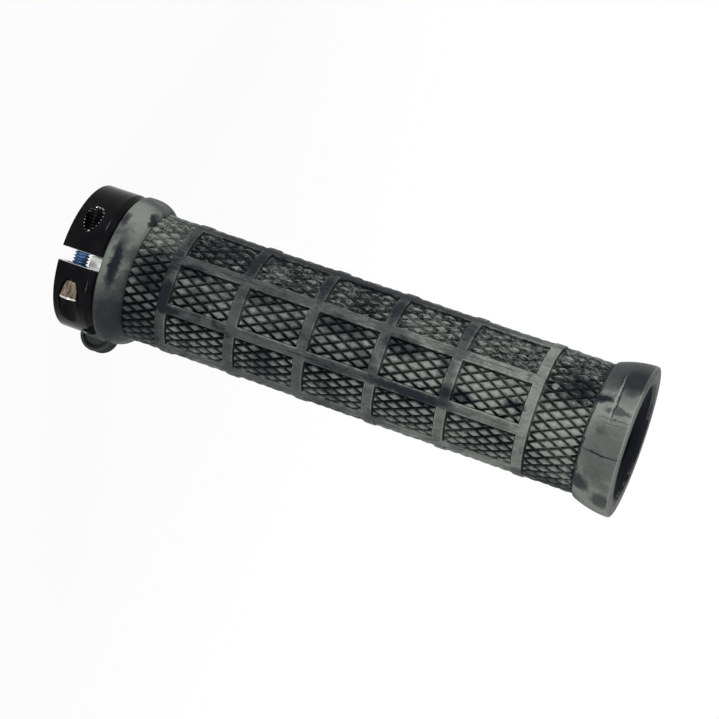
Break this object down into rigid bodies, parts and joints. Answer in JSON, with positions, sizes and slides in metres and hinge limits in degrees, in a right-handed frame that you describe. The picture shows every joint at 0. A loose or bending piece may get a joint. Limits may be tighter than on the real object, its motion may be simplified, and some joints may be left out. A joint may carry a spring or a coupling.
{
  "type": "handlebar grip",
  "caption": "Clamp-on bicycle handlebar grip: ribbed and knurled rubber sleeve on a nylon core, with a split clamp ring and screw.",
  "frame": {"origin": "on the axis of the bar, in the plane of the clamp ring's inboard face, which the grip stands on", "axes": "+Z along the bar axis towards the open outboard end; X and Y halfway between two rails of the sleeve each"},
  "size_m": [0.0348, 0.0338, 0.13],
  "materials": {
    "rubber": "matte moulded rubber, marbled grey-green and charcoal",
    "nylon": "white moulded nylon",
    "anodised_ring": "gloss black anodised",
    "plated_steel": "nickel plated, blue thread-locking patch"
  },
  "bodies": {
    "root": {"rubber_sleeve": "rubber", "inner_core": "nylon", "clamp_ring": "anodised_ring", "clamp_bolt": "plated_steel"}
  },
  "joints": []
}
